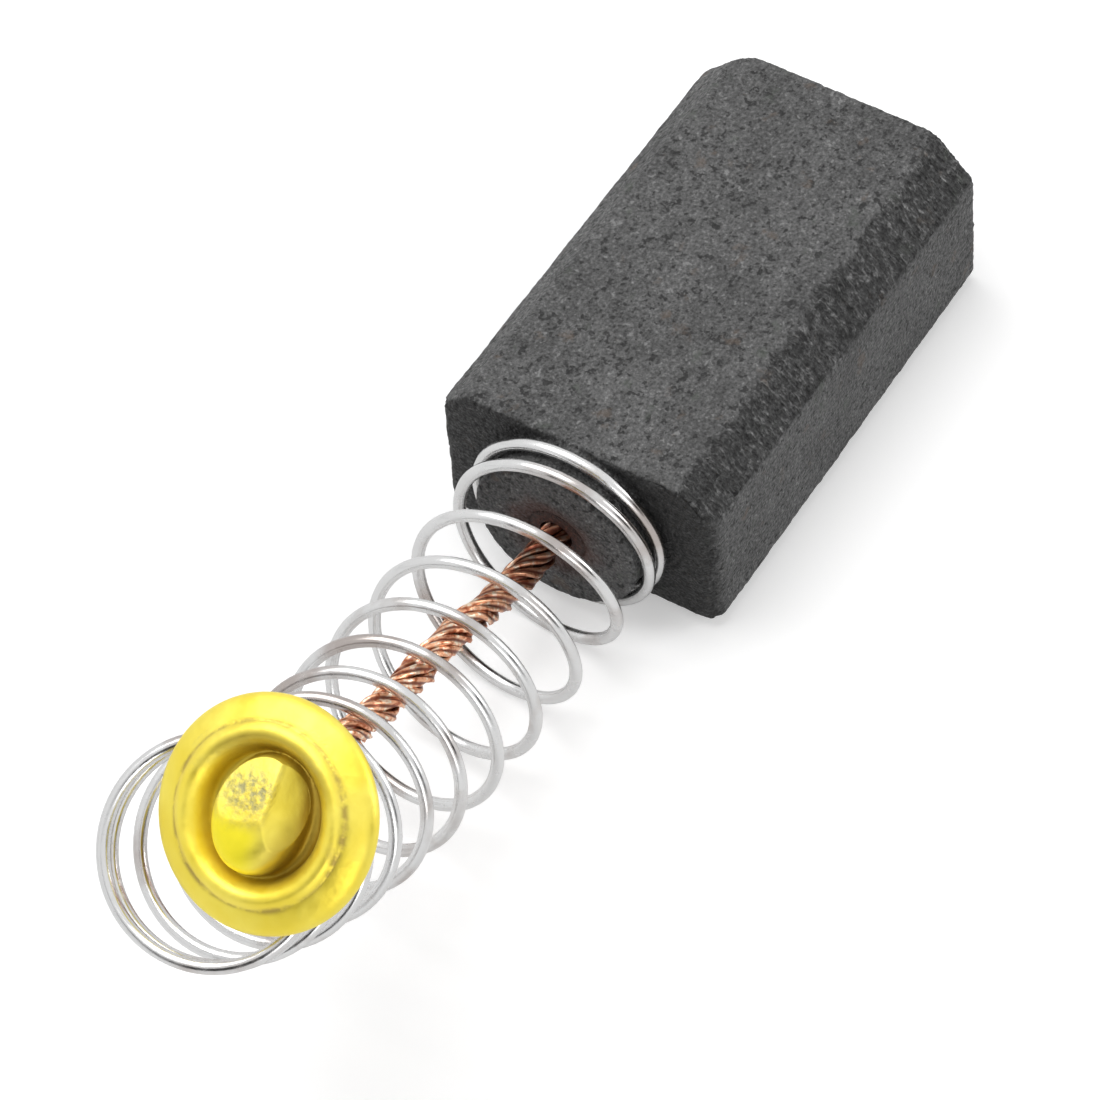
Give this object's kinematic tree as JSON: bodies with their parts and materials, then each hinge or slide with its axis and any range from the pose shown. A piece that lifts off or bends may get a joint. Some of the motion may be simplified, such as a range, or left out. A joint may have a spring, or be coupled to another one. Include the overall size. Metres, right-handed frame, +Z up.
{
  "type": "carbon brush",
  "caption": "Graphite motor brush with chamfered top edges, a bent wire spring on a round spigot, a twisted copper shunt inside it and a pressed brass contact cap.",
  "frame": {"origin": "centre of the wear face", "axes": "+X out of the wear face, away from the spring; +Z up, out of the face between the chamfers; +Y to the left seen from the spring end"},
  "size_m": [0.0327, 0.0094, 0.0141],
  "materials": {
    "graphite": "matt pressed graphite, speckled grain",
    "copper_powder": "matt tamped powder",
    "copper": "bright drawn wire",
    "spring_wire": "bright drawn wire",
    "brass": "pressed sheet, lightly worn"
  },
  "bodies": {
    "block": {"carbon_block": "graphite", "contact_tamping": "copper_powder", "shunt_core": "copper", "shunt_strand_1": "copper", "shunt_strand_2": "copper", "shunt_strand_3": "copper", "shunt_strand_4": "copper", "shunt_strand_5": "copper", "shunt_strand_6": "copper", "spring": "spring_wire"},
    "cap": {"terminal_cap": "brass"}
  },
  "joints": [
    {"name": "spring_travel", "type": "slide", "parent": "block", "child": "cap", "axis": [0.8444, 0.1471, -0.5151], "range_m": [0, 0.009], "stiffness_N_per_m": 80, "deforming": ["spring", "shunt_core", "shunt_strand_1", "shunt_strand_2", "shunt_strand_3", "shunt_strand_4", "shunt_strand_5", "shunt_strand_6"]}
  ]
}
